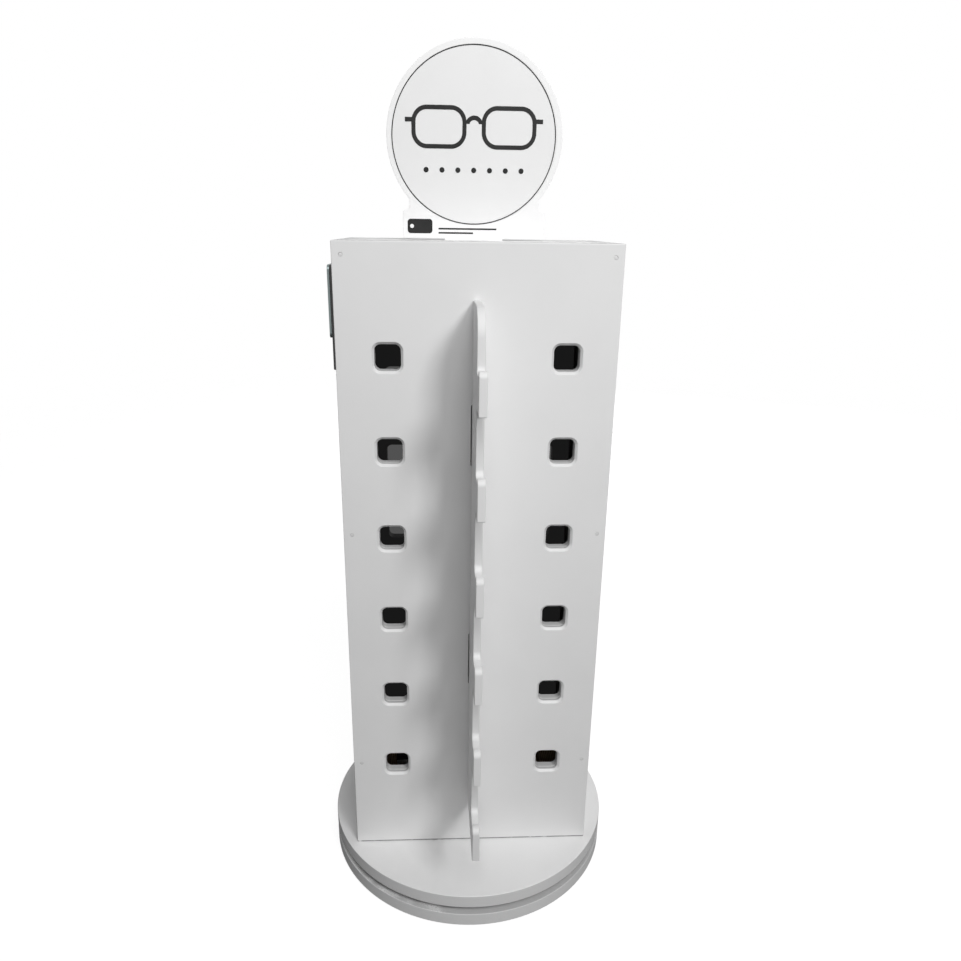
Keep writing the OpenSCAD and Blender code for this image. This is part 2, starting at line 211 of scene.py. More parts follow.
def room(camera_white, light_level, gloss_level):
    """An even room light, with a level of its own for the camera and for reflections."""
    scene.world = bpy.data.worlds.new("room")
    scene.world.use_nodes = True
    tree = scene.world.node_tree
    tree.nodes.clear()
    path = add(tree, "ShaderNodeLightPath").outputs
    level = add(tree, "ShaderNodeMix", {0: path["Is Glossy Ray"], 2: light_level, 3: gloss_level}).outputs[0]
    strength = add(tree, "ShaderNodeMix", {0: path["Is Camera Ray"], 2: level, 3: camera_white}).outputs[0]
    sky = add(tree, "ShaderNodeBackground", {"Color": grey(1.0), "Strength": strength})
    add(tree, "ShaderNodeOutputWorld", {"Surface": sky.outputs[0]})


below_middle = Vector((0, 0, cad_box[1][2] * 0.45))
soft_box("key_light", Vector((0.64, -1.4, 1.48)), below_middle, width=0.42, height=0.42, watts=17)
soft_box("front_fill", Vector((0.06, -1.5, 1.95)), below_middle, width=0.68, height=0.68, watts=16.5)
soft_box("back_light", Vector((0.9, 2.2, 0.42)), below_middle, width=1.2, height=0.6, watts=22)
room(camera_white=1.0, light_level=0.1, gloss_level=1.0)
scene.view_settings.view_transform = "Standard"

# %% [markdown]
# ## Effects that several finishes share
# Real board is never one flat colour. Five small effects are built once as node groups, each with named
# inputs: the fine grain of rolled sheet, the marks a router leaves on a cut edge, worn edges, dust that
# settles on what faces up, and a painted shade along a seam. Every group gives only masks and heights. The
# material that uses it decides what they do to its colour and gloss.

# %% Shared effects: a helper
def new_group(name, inputs, outputs):
    tree = bpy.data.node_groups.new(name, "ShaderNodeTree")
    for title, kind, start in inputs:
        tree.interface.new_socket(title, in_out="INPUT", socket_type=kind).default_value = start
    for title in outputs:
        tree.interface.new_socket(title, in_out="OUTPUT", socket_type="NodeSocketFloat")
    return tree, tree.nodes.new("NodeGroupInput").outputs, tree.nodes.new("NodeGroupOutput")


def place_group(tree, group, **values):
    """Places a shared effect in a material, with this material's own values."""
    node = tree.nodes.new("ShaderNodeGroup")
    node.node_tree = group
    for key, value in values.items():
        node.inputs[key.replace("_", " ")].default_value = value
    return node.outputs


# %% Sheet grain
def make_sheet_grain():
    """Fine pebbling of rolled sheet, and a broad cloudiness."""
    group, given, result = new_group(
        "sheet_grain", [("Scale", "NodeSocketFloat", 1500.0)], ["Height", "Clouds"]
    )
    place = add(group, "ShaderNodeTexCoord").outputs["Object"]
    pebbles = add(group, "ShaderNodeTexNoise", {"Vector": place, "Scale": given["Scale"], "Detail": 2.0})
    broad_scale = times(group, given["Scale"], 0.012)
    broad = add(group, "ShaderNodeTexNoise", {"Vector": place, "Scale": broad_scale, "Detail": 3.0})
    group.links.new(pebbles.outputs["Fac"], result.inputs["Height"])
    group.links.new(ramp(group, broad.outputs["Fac"], 0.3, 0.7), result.inputs["Clouds"])
    return group


sheet_grain = make_sheet_grain()


# %% Cutter marks
def make_cutter_marks():
    """Fine lines that a router leaves along an edge. Across is the direction through the board."""
    group, given, result = new_group(
        "cutter_marks",
        [("Across", "NodeSocketVector", (0.0, 1.0, 0.0)), ("Lines Per Metre", "NodeSocketFloat", 1400.0)],
        ["Cut Edge", "Height"],
    )
    surface = add(group, "ShaderNodeTexCoord").outputs
    flat = math_node(group, "ABSOLUTE", vector_node(group, "DOT_PRODUCT", surface["Normal"], given["Across"]))
    cut = inverted(group, ramp(group, flat, 0.35, 0.85))
    depth = vector_node(group, "DOT_PRODUCT", surface["Object"], given["Across"])
    along = vector_node(group, "MULTIPLY", surface["Object"], (45.0, 45.0, 45.0))
    lines = times(group, depth, given["Lines Per Metre"])
    across = add(group, "ShaderNodeVectorMath", {0: given["Across"]}, operation="SCALE")
    group.links.new(lines, across.inputs["Scale"])
    stretched = vector_node(group, "ADD", along, across.outputs["Vector"])
    noise = add(group, "ShaderNodeTexNoise", {"Vector": stretched, "Scale": 1.0, "Detail": 2.0})
    group.links.new(cut, result.inputs["Cut Edge"])
    group.links.new(times(group, noise.outputs["Fac"], cut), result.inputs["Height"])
    return group


cutter_marks = make_cutter_marks()


# %% Edge wear
def make_edge_wear():
    """Where an edge is rubbed. The Bevel node bends the normal near an edge, and the bend is the mask."""
    group, given, result = new_group(
        "edge_wear",
        [("Reach", "NodeSocketFloat", 0.0015), ("Patch Scale", "NodeSocketFloat", 60.0),
         ("Amount", "NodeSocketFloat", 1.0)],
        ["Worn"],
    )
    bent = add(group, "ShaderNodeBevel", {"Radius": given["Reach"]}, samples=4).outputs["Normal"]
    true = add(group, "ShaderNodeNewGeometry").outputs["Normal"]
    edge = ramp(group, inverted(group, vector_node(group, "DOT_PRODUCT", bent, true)), 0.01, 0.2)
    place = add(group, "ShaderNodeTexCoord").outputs["Object"]
    patches = add(group, "ShaderNodeTexNoise", {"Vector": place, "Scale": given["Patch Scale"],
                                                "Detail": 6.0, "Roughness": 0.65})
    broken = ramp(group, patches.outputs["Fac"], 0.45, 0.62)
    worn = times(group, times(group, edge, broken), given["Amount"])
    group.links.new(worn, result.inputs["Worn"])
    return group


edge_wear = make_edge_wear()


# %% Settled dust
def make_settled_dust():
    """Dust on surfaces that face up, in soft patches with a few specks."""
    group, given, result = new_group(
        "settled_dust", [("Amount", "NodeSocketFloat", 0.5), ("Speck Scale", "NodeSocketFloat", 900.0)],
        ["Dust"],
    )
    surface = add(group, "ShaderNodeTexCoord").outputs
    facing_up = ramp(group, height_of(group, surface["Normal"]), 0.55, 0.98)
    patches = add(group, "ShaderNodeTexNoise", {"Vector": surface["Object"], "Scale": 22.0, "Detail": 4.0})
    specks = add(group, "ShaderNodeTexNoise", {"Vector": surface["Object"], "Scale": given["Speck Scale"],
                                               "Detail": 1.0})
    soft = ramp(group, patches.outputs["Fac"], 0.35, 0.75)
    fine = ramp(group, specks.outputs["Fac"], 0.55, 0.75)
    both = scaled(group, soft, 0.6, times(group, fine, 0.4))
    dust = math_node(group, "MULTIPLY", times(group, both, facing_up), given["Amount"], clamp=True)
    group.links.new(dust, result.inputs["Dust"])
    return group


settled_dust = make_settled_dust()


# %% Painted seam shade
def make_painted_seam_shade():
    """A thin dark line where upright boards stand on the turntable: painted shade in the joint."""
    group, given, result = new_group(
        "seam_grime", [("Level", "NodeSocketFloat", 0.036), ("Height", "NodeSocketFloat", 0.0012)], ["Grime"]
    )
    surface = add(group, "ShaderNodeTexCoord").outputs
    from_level = math_node(group, "SUBTRACT", height_of(group, surface["Object"]), given["Level"])
    near = inverted(group, ramp(group, math_node(group, "DIVIDE", from_level, given["Height"]), 0.55, 1.1))
    tilt = math_node(group, "ABSOLUTE", height_of(group, surface["Normal"]))
    upright = inverted(group, ramp(group, tilt, 0.3, 0.8))
    uneven = add(group, "ShaderNodeTexNoise", {"Vector": surface["Object"], "Scale": 130.0}).outputs["Fac"]
    line = times(group, times(group, near, upright), ramp(group, uneven, 0.1, 0.5))
    group.links.new(line, result.inputs["Grime"])
    return group


seam_grime = make_painted_seam_shade()
print("shared effects:", [g.name for g in bpy.data.node_groups])


# %% [markdown]
# ## White board
# The column, the fins and the two discs are sheets of white foamed PVC, sawn and routed to shape. The
# faces have a satin skin with a very fine grain. The cut edges are darker and duller, with fine lines from
# the cutter. Which way is "through the board" differs per part, so the finish is a function of that
# direction.
#
# Three shades are painted shade more than the material's colour. The two wide panels have much darker cut
# edges, a painted shade so that the walls of their holes show. The dust layer is turned up to a heavy dark
# grey on the base disc, a painted shade, so that the gap under the turntable reads as a dark band. A thin
# dark line of painted shade marks where the column stands on the turntable.

# %% White board finish
def bump(tree, heights, depth):
    """Adds up heights of 0 to 1 and turns them into a normal, depth metres high."""
    total = heights[0]
    for height in heights[1:]:
        total = math_node(tree, "ADD", total, height)
    relief = add(tree, "ShaderNodeBump", {"Height": total, "Strength": 0.6, "Distance": depth})
    return relief.outputs["Normal"]


deck_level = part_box("turntable_disc")[1].z


worn_shade = 0.62
# Dark grey of the painted shade along the seam at the column's foot.
seam_shade_tone = 0.16


def white_board(name, across, cut_shade=0.77, dust_and_gap_shade_cover=0.35, dust_and_gap_shade_tone=0.74, stands_on_deck=True):
    material, tree = new_material(name)
    grain = place_group(tree, sheet_grain, Scale=1500.0)
    cutter = place_group(tree, cutter_marks, Across=across, Lines_Per_Metre=1400.0)
    wear = place_group(tree, edge_wear, Reach=0.0012, Patch_Scale=55.0, Amount=0.45)
    dust = place_group(tree, settled_dust, Amount=dust_and_gap_shade_cover, Speck_Scale=900.0)
    skin = mixed(tree, grain["Clouds"], grey(0.792), grey(0.806))
    colour = mixed(tree, cutter["Cut Edge"], skin, grey(cut_shade))
    colour = mixed(tree, wear["Worn"], colour, grey(worn_shade))
    # Real dust on most boards; on the base disc, turned up heavy and dark, it is painted shade for the gap
    # under the turntable.
    colour = mixed(tree, dust["Dust"], colour, grey(dust_and_gap_shade_tone))
    # Painted shade: a thin dark line along the joint where the board stands on the turntable.
    if stands_on_deck:
        contact_shade = place_group(tree, seam_grime, Level=deck_level, Height=0.0015)
        colour = mixed(tree, contact_shade["Grime"], colour, grey(seam_shade_tone))
    dull = scaled(tree, cutter["Cut Edge"], 0.16, 0.44)
    dull = scaled(tree, grain["Clouds"], 0.05, dull)
    finish_material(tree, Base_Color=colour, Roughness=dull, IOR=1.5,
                    Normal=bump(tree, [grain["Height"], cutter["Height"]], 0.00002))
    return material


# The wide panels' much darker cut edges are painted shade on the walls of their holes.
board_facing_y = white_board("white_board_facing_y", (0, 1, 0), cut_shade=0.5)
board_facing_x = white_board("white_board_facing_x", (1, 0, 0))
board_facing_z = white_board("white_board_facing_z", (0, 0, 1), cut_shade=0.71, stands_on_deck=False)
# The base disc shows only in the gap under the turntable: its heavy dark dust layer is painted shade there.
gap_shade_board = white_board("white_board_under_gap", (0, 0, 1), cut_shade=0.71, dust_and_gap_shade_cover=6.0, dust_and_gap_shade_tone=0.5,
                          stands_on_deck=False)

# %% [markdown]
# ## Other finishes
# The inside of the column has a coat of matt dark paint, so the holes look like dark openings.
# The sign is a smooth printed sheet with a faint grey tint inside its ring. The fasteners are
# zinc-plated, the feet are rubber, and the side mirror is silvered acrylic on black plastic.

# %% Paint, ink and rubber
def plain_coat(name, grain_scale, shades, dull, relief, wear=None, dull_from="Clouds", **extra):
    """
    One colour that drifts between two shades. Dull is how much the roughness varies, and its least value.
    Wear is the edge wear's reach, patch scale and amount, and the colour that shows there.
    """
    material, tree = new_material(name)
    grain = place_group(tree, sheet_grain, Scale=grain_scale)
    colour = mixed(tree, grain["Clouds"], *map(grey, shades))
    if wear:
        reach, patch_scale, amount, bare = wear
        rubbed = place_group(tree, edge_wear, Reach=reach, Patch_Scale=patch_scale, Amount=amount)
        colour = mixed(tree, rubbed["Worn"], colour, bare)
    finish_material(tree, Base_Color=colour, Roughness=scaled(tree, grain[dull_from], *dull),
                    Normal=bump(tree, [grain["Height"]], relief), **extra)
    return material


# %% Sign sheet
def sign_sheet(centre, tint_radius):
    """White sheet with a faint grey tint printed inside the ring."""
    material, tree = new_material("sign_sheet")
    grain = place_group(tree, sheet_grain, Scale=2600.0)
    wear = place_group(tree, edge_wear, Reach=0.001, Patch_Scale=70.0, Amount=0.3)
    dust = place_group(tree, settled_dust, Amount=0.3, Speck_Scale=900.0)
    surface = add(tree, "ShaderNodeTexCoord").outputs
    from_centre = vector_node(tree, "SUBTRACT", surface["Object"], centre)
    distance = vector_node(tree, "LENGTH", vector_node(tree, "MULTIPLY", from_centre, (1.0, 0.0, 1.0)))
    outside = ramp(tree, distance, tint_radius - 0.0002, tint_radius + 0.0002)
    colour = mixed(tree, outside, grey(0.86), grey(0.94))
    colour = mixed(tree, times(tree, grain["Clouds"], 0.25), colour, grey(0.88))
    colour = mixed(tree, wear["Worn"], colour, grey(0.7))
    colour = mixed(tree, dust["Dust"], colour, grey(0.75))
    dull = scaled(tree, grain["Clouds"], 0.06, 0.34)
    finish_material(tree, Base_Color=colour, Roughness=dull, IOR=1.5,
                    Normal=bump(tree, [grain["Height"]], 0.000006))
    return material


# %% Zinc-plated steel
def zinc_steel(name, light, dark, dull):
    material, tree = new_material(name)
    grain = place_group(tree, sheet_grain, Scale=2400.0)
    wear = place_group(tree, edge_wear, Reach=0.0006, Patch_Scale=300.0, Amount=0.6)
    place = add(tree, "ShaderNodeTexCoord").outputs["Object"]
    spangle = add(tree, "ShaderNodeTexVoronoi", {"Vector": place, "Scale": 420.0}).outputs["Color"]
    flake = add(tree, "ShaderNodeSeparateColor", {0: spangle}).outputs["Red"]
    colour = mixed(tree, flake, grey(dark, 0.004), grey(light, 0.006))
    colour = mixed(tree, wear["Worn"], colour, grey(min(0.9, light * 1.15)))
    rough = scaled(tree, flake, 0.12, dull)
    finish_material(tree, Base_Color=colour, Metallic=1.0, Roughness=rough,
                    Normal=bump(tree, [grain["Height"]], 0.000008))
    return material


# %% Black plastic
def black_plastic():
    material, tree = new_material("black_plastic")
    grain = place_group(tree, sheet_grain, Scale=1300.0)
    cutter = place_group(tree, cutter_marks, Across=(1, 0, 0), Lines_Per_Metre=1800.0)
    wear = place_group(tree, edge_wear, Reach=0.001, Patch_Scale=120.0, Amount=0.6)
    dust = place_group(tree, settled_dust, Amount=0.5, Speck_Scale=900.0)
    colour = mixed(tree, grain["Clouds"], grey(0.05), grey(0.065))
    colour = mixed(tree, cutter["Cut Edge"], colour, grey(0.085))
    colour = mixed(tree, wear["Worn"], colour, grey(0.22))
    colour = mixed(tree, dust["Dust"], colour, grey(0.4))
    dull = scaled(tree, cutter["Cut Edge"], 0.2, 0.4)
    finish_material(tree, Base_Color=colour, Roughness=dull,
                    Normal=bump(tree, [grain["Height"], cutter["Height"]], 0.00002))
    return material


# %% Silvered acrylic
def mirror_acrylic():
    material, tree = new_material("mirror_acrylic")
    grain = place_group(tree, sheet_grain, Scale=900.0)
    cutter = place_group(tree, cutter_marks, Across=(1, 0, 0), Lines_Per_Metre=2600.0)
    wear = place_group(tree, edge_wear, Reach=0.0008, Patch_Scale=160.0, Amount=0.5)
    colour = mixed(tree, cutter["Cut Edge"], (0.8, 0.82, 0.83, 1.0), (0.22, 0.26, 0.26, 1.0))
    colour = mixed(tree, wear["Worn"], colour, grey(0.55))
    dull = scaled(tree, cutter["Cut Edge"], 0.35, times(tree, grain["Clouds"], 0.03))
    finish_material(tree, Base_Color=colour, Metallic=1.0, Roughness=dull,
                    Normal=bump(tree, [grain["Clouds"]], 0.000004))
    return material


# %% Planed wood
def planed_wood():
    """Softwood: growth rings round an axis that lies along the cleat."""
    material, tree = new_material("planed_wood")
    place = add(tree, "ShaderNodeTexCoord").outputs["Object"]
    along = add(tree, "ShaderNodeMapping", {"Vector": place, "Location": (0.013, 0.0, 0.021),
                                            "Scale": (1.0, 0.06, 1.0)}).outputs["Vector"]
    rings = add(tree, "ShaderNodeTexWave", {"Vector": along, "Scale": 210.0, "Distortion": 3.0, "Detail": 2.0,
                                            "Detail Scale": 1.2}, wave_type="RINGS", rings_direction="Y")
    fibre = add(tree, "ShaderNodeTexNoise", {"Vector": along, "Scale": 1900.0, "Detail": 3.0}).outputs["Fac"]
    wear = place_group(tree, edge_wear, Reach=0.001, Patch_Scale=90.0, Amount=0.4)
    late = ramp(tree, rings.outputs["Fac"], 0.35, 0.95)
    colour = mixed(tree, late, (0.66, 0.5, 0.32, 1.0), (0.45, 0.29, 0.15, 1.0))
    colour = mixed(tree, times(tree, fibre, 0.3), colour, (0.72, 0.58, 0.4, 1.0))
    colour = mixed(tree, wear["Worn"], colour, (0.36, 0.27, 0.18, 1.0))
    dull = scaled(tree, late, -0.08, 0.66)
    finish_material(tree, Base_Color=colour, Roughness=dull, Normal=bump(tree, [fibre, late], 0.00004))
    return material


sign_low, sign_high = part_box("header_sign")
sign_radius = (sign_high.x - sign_low.x) / 2
sign_centre = Vector(((sign_low.x + sign_high.x) / 2, 0, sign_high.z - sign_radius))
ring_low, ring_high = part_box("sign_graphics")
ring_radius = (ring_high.x - ring_low.x) / 2
black_inside = plain_coat("inside_paint", 420.0, (0.15, 0.19), dull=(0.1, 0.78), relief=0.00006)
sheet_white = sign_sheet(sign_centre, ring_radius)
ink_black = plain_coat("printed_ink", 3000.0, (0.014, 0.022), dull=(0.12, 0.4), relief=0.000004,
                       dull_from="Height", Specular_IOR_Level=0.2)
steel = zinc_steel("zinc_steel", light=0.66, dark=0.5, dull=0.3)
dark_steel = zinc_steel("black_oxide_steel", light=0.06, dark=0.04, dull=0.42)
painted_nail = plain_coat("nail_paint", 1800.0, (0.68, 0.78), dull=(0.1, 0.4), relief=0.00002,
                          wear=(0.0005, 500.0, 0.9, (0.42, 0.36, 0.31, 1.0)))
rubber = plain_coat("foot_rubber", 1100.0, (0.035, 0.055), dull=(0.1, 0.72), relief=0.00004,
                    wear=(0.001, 150.0, 0.7, grey(0.16)))
plastic_black = black_plastic()
acrylic_mirror = mirror_acrylic()
wood = planed_wood()
print("finishes:", [m.name for m in bpy.data.materials if m.use_nodes and m.node_tree.nodes])

# %% [markdown]
# ## Boards with softened edges
# A CAD board has perfectly sharp edges, which no real board has, and sharp edges catch no light. A Bevel
# modifier on the CAD mesh is one way, but it leaves messy corners round the holes. Here each board is
# rebuilt: the outline of its flat face is read from the CAD mesh, and a wall profile is swept round
# every outline, with small round-overs at both faces. The profile can also hold a countersunk mouth.

# %% Read a board's outlines
same_place = 0.002 * mm


def flat_outlines(node, axis, side):
    """Closed outlines of a board's flat face, as 2-D points. The board lies to the left of each."""
    mesh = bmesh.new()
    mesh.from_mesh(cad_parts[node].data)
    bmesh.ops.remove_doubles(mesh, verts=mesh.verts, dist=same_place)
    level = side * max(side * v.co[axis] for v in mesh.verts)
    face = {f for f in mesh.faces if all(abs(v.co[axis] - level) < same_place for v in f.verts)}
    rim = {e for e in mesh.edges if sum(f in face for f in e.link_faces) == 1}
    first, second = [i for i in range(3) if i != axis]
    outlines = []
    while rim:
        edge = rim.pop()
        start, here = edge.verts
        points = [start]
        while here != start:
            points.append(here)
            edge = next(e for e in here.link_edges if e in rim)
            rim.discard(edge)
            here = edge.other_vert(here)
        outlines.append([Vector((v.co[first], v.co[second])) for v in points])
    mesh.free()
    outlines.sort(key=lambda loop: -abs(area(loop)))
    return [loop if (area(loop) > 0) == (i == 0) else loop[::-1] for i, loop in enumerate(outlines)]


def area(loop):
    return sum(a.x * b.y - b.x * a.y for a, b in zip(loop, loop[1:] + loop[:1])) / 2


def size_of(loop):
    return tuple(max(p[i] for p in loop) - min(p[i] for p in loop) for i in range(2))


# %% Soften a path
def curved_corner(before, corner, after, radius, steps):
    """Points of a smooth curve that cuts a corner."""
    back, forward = before - corner, after - corner
    reach = radius / math.tan(back.angle(forward) / 2)
    reach = min(reach, back.length * 0.45, forward.length * 0.45)
    start, end = corner + back.normalized() * reach, corner + forward.normalized() * reach
    shares = [k / steps for k in range(steps + 1)]
    return [start * (1 - t) ** 2 + corner * 2 * t * (1 - t) + end * t ** 2 for t in shares]


def softened_outline(loop, radius, steps=3, sharper_than=35):
    """Rounds the sharp corners of a closed outline, and keeps its round stretches as they are."""
    points = []
    for before, corner, after in zip(loop[-1:] + loop[:-1], loop, loop[1:] + loop[:1]):
        turn = math.degrees((corner - before).angle(after - corner))
        points += curved_corner(before, corner, after, radius, steps) if turn > sharper_than else [corner]
    return points


def softened_wall(path, radius, steps=3):
    """Rounds each corner of a wall profile, whose first and last points only give a direction."""
    points = []
    for before, corner, after in zip(path, path[1:], path[2:]):
        points += curved_corner(Vector(before), Vector(corner), Vector(after), radius, steps)
    return points


def set_back(loop, distance):
    """Moves a closed outline sideways into the board."""
    moved = []
    for before, corner, after in zip(loop[-1:] + loop[:-1], loop, loop[1:] + loop[:1]):
        enter, leave = (corner - before).normalized(), (after - corner).normalized()
        enter, leave = Vector((-enter.y, enter.x)), Vector((-leave.y, leave.x))
        middle = (enter + leave).normalized()
        moved.append(corner + middle * (distance / max(0.4, middle.dot(enter))))
    return moved


# %% Wall profiles
far = 40 * mm


def plain_wall(thickness, radius):
    """A square edge with both corners rounded over."""
    return softened_wall([(far, 0), (0, 0), (0, thickness), (far, thickness)], radius)


def chamfered_wall(thickness, mouth, radius, groove=0.0):
    """A wall that opens into a countersunk mouth at the outside, with a fine line left by the cutter."""
    shoulder = thickness - mouth
    line = thickness * 0.55
    path = [(far, 0), (0, 0)]
    if groove:
        path += [(0, line - groove), (groove, line - groove * 0.4),
                 (groove, line + groove * 0.4), (0, line + groove)]
    path += [(0, shoulder), (mouth, thickness), (far, thickness)]
    return softened_wall(path, radius)


def stepped_wall(thickness, step, depth, radius):
    """A narrow hole with a wider recess at the outside."""
    floor = thickness - depth
    path = [(far, 0), (0, 0), (0, floor), (step, floor), (step, thickness), (far, thickness)]
    return softened_wall(path, radius)


# %% Build a board
def board(name, node, axis, outside, wall_of, materials, body, corner_radius=0.6 * mm, keep=None):
    """
    A board that stands for a CAD node. Axis is the way through it, and outside the sign of its outer face.
    wall_of gives the wall profile for an outline, from the inside, and keep says which outlines to keep.
    """
    low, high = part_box(node)
    thickness = high[axis] - low[axis]
    inner = low[axis] if outside > 0 else high[axis]
    shell = bmesh.new()
    caps = ([], [])
    for loop in flat_outlines(node, axis, -outside):
        if keep and not keep(loop):
            continue
        rings = []
        for back, depth in wall_of(loop, thickness):
            ring = []
            for point in set_back(softened_outline(loop, corner_radius), back):
                place = list(point)
                place.insert(axis, inner + outside * depth)
                ring.append(shell.verts.new(place))
            rings.append(ring)
        for ring, above in zip(rings, rings[1:]):
            for i in range(len(ring)):
                shell.faces.new((ring[i - 1], ring[i], above[i], above[i - 1]))
        caps[0].append(rings[0])
        caps[1].append(rings[-1])
    for slot_number, rings in zip((len(materials) - 1, 0), caps):
        corners = [v for ring in rings for v in ring]
        for triangle in geometry.tessellate_polygon([[v.co for v in ring] for ring in rings]):
            shell.faces.new([corners[i] for i in triangle]).material_index = slot_number
    bmesh.ops.recalc_face_normals(shell, faces=shell.faces)
    obj = new_piece(name, shell, materials)
    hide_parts(node)
    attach(obj, body)
    print(f"{name}: {len(obj.data.polygons)} faces, {thickness / mm:.1f} mm thick")


sharp_board_edge = math.radians(42)


def new_piece(name, shell, materials):
    """A mesh object at the origin, shaded smooth with flat faces kept flat."""
    mesh = bpy.data.meshes.new(name)
    shell.to_mesh(mesh)
    shell.free()
    for material in materials:
        mesh.materials.append(material)
    mesh.shade_smooth()
    mesh.set_sharp_from_angle(angle=sharp_board_edge)
    obj = bpy.data.objects.new(name, mesh)
    scene.collection.objects.link(obj)
    weighted = obj.modifiers.new("weighted", "WEIGHTED_NORMAL")
    weighted.keep_sharp = True
    weighted.weight = 80
    depsgraph = bpy.context.evaluated_depsgraph_get()
    obj.data = bpy.data.meshes.new_from_object(
        obj.evaluated_get(depsgraph), preserve_all_data_layers=True, depsgraph=depsgraph
    )
    obj.modifiers.clear()
    return obj


# %% [markdown]
# ## The column
# The front and back panels carry the holes, the slots of the fin's tabs and the nail holes. They run the
# full width and cover the edges of the two side panels. Each opening gets the wall that suits it: a
# countersunk mouth at a temple hole, a small recess at a nail, and a plain round-over elsewhere.

# %% Panels with holes
hole_mouth = 2.0 * mm
nail_recess = 0.8 * mm
nail_hole_limit = 4 * mm
screw_hole_limit = 8 * mm
hole_limit = 30 * mm


def panel_wall(loop, thickness):
    width, height = size_of(loop)
    if width < nail_hole_limit:
        return stepped_wall(thickness, nail_recess, nail_recess, 0.12 * mm)
    if width < hole_limit and height < hole_limit:
        return chamfered_wall(thickness, hole_mouth, 0.4 * mm, groove=0.25 * mm)
    return plain_wall(thickness, 0.6 * mm)


def not_a_screw_hole(loop):
    """Screws end inside the board, so their holes don't reach its other face."""
    return size_of(loop)[0] > screw_hole_limit


def edge_wall(radius):
    return lambda loop, thickness: plain_wall(thickness, radius)


x_axis, y_axis, z_axis = range(3)
for side, name in ((-1, "front_panel"), (1, "back_panel")):
    board(f"{name}_board", name, y_axis, side, panel_wall, [board_facing_y, black_inside],
          "tower")
for side, name in ((-1, "left_side_panel"), (1, "right_side_panel")):
    board(f"{name}_board", name, x_axis, side, edge_wall(0.6 * mm), [board_facing_x, black_inside],
          "tower", keep=not_a_screw_hole)
board("top_panel_board", "top_panel", z_axis, 1, edge_wall(0.6 * mm), [board_facing_z, black_inside],
      "tower")

# %% [markdown]
# ## Discs, fins and sign
# The discs are turned from the same board as the column. The fins are thinner, and their edges are
# sanded rounder because glasses slide over them. The sign is the thinnest sheet, die cut, so its edges
# stay crisp.

# %% Discs
rim_round = 0.8 * mm


def disc_wall(loop, thickness):
    if size_of(loop)[0] < hole_limit:
        return plain_wall(thickness, 0.5 * mm)
    path = [(far, 0), (-rim_round, 0), (-rim_round, thickness), (far, thickness)]
    return softened_wall(path, rim_round, 5)


for name, body, finish in (("turntable_disc", "tower", board_facing_z), ("base_disc", "base", gap_shade_board)):
    board(f"{name}_board", name, z_axis, 1, disc_wall, [finish], body, keep=not_a_screw_hole)

# %% Fins
for name in ("front_nose_fin", "back_nose_fin"):
    board(f"{name}_board", name, x_axis, 1, edge_wall(0.8 * mm), [board_facing_x], "tower",
          corner_radius=0.8 * mm)

# %% Sign
board("header_sign_sheet", "header_sign", y_axis, 1, edge_wall(0.3 * mm), [sheet_white],
      "header", corner_radius=0.4 * mm)

# %% Side mirror
board("mirror_backing", "side_mirror_backer", x_axis, -1, edge_wall(0.5 * mm), [plastic_black],
      "tower")
board("mirror_plate", "side_mirror_glass", x_axis, -1, edge_wall(0.4 * mm), [acrylic_mirror],
      "tower")

# %% [markdown]
# ## Screws and nails
# Twenty-six screws and twelve nails hold the display together. Screws differ only in their sizes, so one
# Geometry Nodes tree makes them all: a domed or countersunk head with a cross recess, a tapered point
# and a helical thread. Every point of its input mesh becomes one fastener, and an attribute on the point
# says which way it is driven. The recesses are turned at random, because no one lines screws up.

# %% Places of separate fasteners
def loose_boxes(node):
    """The box of each separate solid in a CAD node."""
    mesh = bmesh.new()
    mesh.from_mesh(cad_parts[node].data)
    bmesh.ops.remove_doubles(mesh, verts=mesh.verts, dist=same_place)
    waiting = set(mesh.verts)
    boxes = []
    while waiting:
        solid = [waiting.pop()]
        for vertex in solid:
            near = {e.other_vert(vertex) for e in vertex.link_edges} & waiting
            waiting -= near
            solid += near
        low, high = (Vector(pick(v.co[i] for v in solid) for i in range(3)) for pick in (min, max))
        boxes.append((low, high))
    mesh.free()
    return sorted(boxes, key=lambda box: tuple(round(c, 6) for c in box[0]))


# %% Geometry Nodes helpers
def new_shape_tree(name, sizes):
    """A Geometry Nodes tree with a geometry input and named inputs for its sizes."""
    tree = bpy.data.node_groups.new(name, "GeometryNodeTree")
    tree.interface.new_socket("Geometry", in_out="INPUT", socket_type="NodeSocketGeometry")
    for title, kind in sizes:
        tree.interface.new_socket(title, in_out="INPUT", socket_type=kind)
    tree.interface.new_socket("Geometry", in_out="OUTPUT", socket_type="NodeSocketGeometry")
    return tree, tree.nodes.new("NodeGroupInput").outputs, tree.nodes.new("NodeGroupOutput").inputs


def joined(tree, *parts):
    join = tree.nodes.new("GeometryNodeJoinGeometry")
    for part in parts:
        tree.links.new(part, join.inputs[0])
    return join.outputs[0]


def moved(tree, part, x=0.0, y=0.0, z=0.0):
    place = add(tree, "ShaderNodeCombineXYZ", {0: x, 1: y, 2: z}).outputs[0]
    return add(tree, "GeometryNodeTransform", {"Geometry": part, "Translation": place}).outputs[0]


def either(tree, switch, part, other):
    """One part where the switch is on, and the other where it is off."""
    return add(tree, "GeometryNodeSwitch", {"Switch": switch, "True": part, "False": other},
               input_type="GEOMETRY").outputs[0]


def finish_tree(tree, placed, finish, result):
    """Makes copies real, gives them their material, and ends the tree."""
    real = add(tree, "GeometryNodeRealizeInstances", {"Geometry": placed}).outputs[0]
    finished = add(tree, "GeometryNodeSetMaterial", {"Geometry": real, "Material": finish})
    tree.links.new(finished.outputs[0], result)


